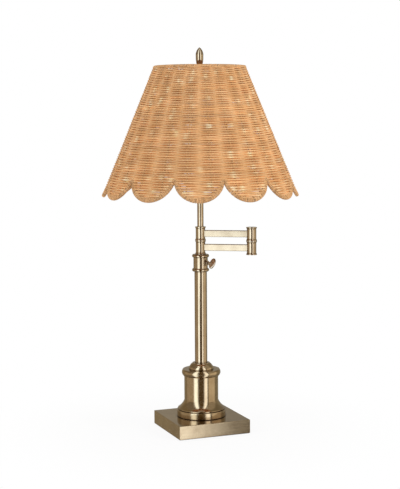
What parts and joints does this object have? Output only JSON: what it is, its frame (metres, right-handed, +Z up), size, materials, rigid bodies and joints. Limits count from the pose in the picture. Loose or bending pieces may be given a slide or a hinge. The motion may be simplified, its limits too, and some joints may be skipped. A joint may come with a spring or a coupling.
{
  "type": "swing arm table lamp",
  "caption": "Brass table lamp with a square weighted base, turned pedestal, height-adjustable post, folding swing arm and a scalloped woven rattan shade on a harp.",
  "frame": {"origin": "centre of the underside of the square base, on the surface it stands on", "axes": "+Z up along the pole and the shade's axis; X and Y along the sides of the base, with the cord bushing on the +Y side"},
  "size_m": [0.396, 0.396, 0.7765],
  "materials": {
    "base_brass": "satin, brushed along the sides",
    "pedestal_brass": "satin, brushed round the axis",
    "turned_brass": "satin, brushed round the axis",
    "arm_brass": "satin, brushed lengthwise",
    "fitting_brass": "satin",
    "socket_brass": "satin",
    "contact_brass": "polished",
    "cast_iron": "rough, as cast",
    "felt": "short pile",
    "bushing_plastic": "matte",
    "plated_steel": "zinc plated",
    "frame_wire": "satin",
    "nylon": "matte",
    "insulator_card": "matte",
    "moulded_black": "semi-gloss",
    "bulb_cap": "bright",
    "frosted_glass": "frosted white",
    "rattan_reed": "natural, satin",
    "rattan_binding": "natural, satin",
    "rattan_stake": "natural, satin"
  },
  "bodies": {
    "stand": {"base_felt": "felt", "base_shell": "base_brass", "base_weight": "cast_iron", "cord_bushing": "bushing_plastic", "tie_rod": "plated_steel", "rod_washer": "plated_steel", "rod_nut": "plated_steel", "pedestal_foot": "pedestal_brass", "pedestal_barrel": "pedestal_brass", "pedestal_ring": "pedestal_brass", "pedestal_dome": "pedestal_brass", "pole": "turned_brass", "pole_plug": "fitting_brass", "guide_bush": "nylon", "lock_collar": "turned_brass", "clamp_pad": "nylon"},
    "thumb_screw": {"thumb_screw": "fitting_brass"},
    "post": {"post": "turned_brass", "post_foot": "nylon", "post_pivot": "fitting_brass", "pivot_washer": "plated_steel", "pivot_nut": "plated_steel"},
    "lower_arm": {"lower_arm": "arm_brass", "lower_knuckle": "turned_brass", "lower_knuckle_cap": "turned_brass", "elbow_lower": "turned_brass", "elbow_pin": "fitting_brass", "elbow_washer": "nylon", "elbow_nut": "plated_steel", "elbow_nut_washer": "plated_steel"},
    "upper_arm": {"upper_arm": "arm_brass", "elbow_upper": "turned_brass", "elbow_top_cap": "turned_brass", "upper_knuckle": "turned_brass", "riser_tube": "turned_brass", "riser_nipple": "plated_steel", "harp_saddle": "fitting_brass", "harp": "fitting_brass", "harp_swivel": "fitting_brass", "socket_cap": "socket_brass", "socket_shell": "socket_brass", "socket_liner": "insulator_card", "socket_interior": "moulded_black", "screw_shell": "contact_brass", "centre_contact": "contact_brass", "bulb_contact": "contact_brass", "bulb_base": "bulb_cap", "bulb_glass": "frosted_glass"},
    "sleeve_left": {"harp_sleeve_left": "fitting_brass"},
    "sleeve_right": {"harp_sleeve_right": "fitting_brass"},
    "switch": {"switch_stem": "fitting_brass", "switch_knob": "moulded_black"},
    "shade": {"shade_weave": "rattan_reed", "hem_border": "rattan_binding", "hem_wire": "frame_wire", "shade_spider": "fitting_brass", "top_ring": "frame_wire", "shade_stakes": "rattan_stake", "top_border": "rattan_binding"},
    "finial": {"finial": "turned_brass"}
  },
  "joints": [
    {"name": "post_slide", "type": "slide", "parent": "stand", "child": "post", "axis": [0, 0, 1], "range_m": [0, 0.12]},
    {"name": "lower_arm_swing", "type": "hinge", "parent": "post", "child": "lower_arm", "pos_m": [0, 0, 0.3753], "axis": [0, 0, 1], "range_deg": [-170, 170]},
    {"name": "upper_arm_swing", "type": "hinge", "parent": "lower_arm", "child": "upper_arm", "pos_m": [0.0892, -0.05445, 0.3894], "axis": [0, 0, 1], "range_deg": [-170, 170]},
    {"name": "thumb_screw_turn", "type": "hinge", "parent": "stand", "child": "thumb_screw", "pos_m": [0.01424, -0.02843, 0.3442], "axis": [0.4478, -0.8942, 0], "range_deg": [0, 540]},
    {"name": "sleeve_left_lift", "type": "slide", "parent": "upper_arm", "child": "sleeve_left", "axis": [0, 0, 1], "range_m": [0, 0.009]},
    {"name": "sleeve_right_lift", "type": "slide", "parent": "upper_arm", "child": "sleeve_right", "axis": [0, 0, 1], "range_m": [0, 0.009]},
    {"name": "switch_turn", "type": "hinge", "parent": "upper_arm", "child": "switch", "pos_m": [0, -0.0325, 0.5604], "axis": [0, -1, 0], "continuous": true},
    {"name": "shade_turn", "type": "hinge", "parent": "upper_arm", "child": "shade", "pos_m": [0, 0, 0.7308], "axis": [0, 0, 1], "continuous": true},
    {"name": "finial_turn", "type": "hinge", "parent": "upper_arm", "child": "finial", "pos_m": [0, 0, 0.754], "axis": [0, 0, 1], "continuous": true}
  ]
}
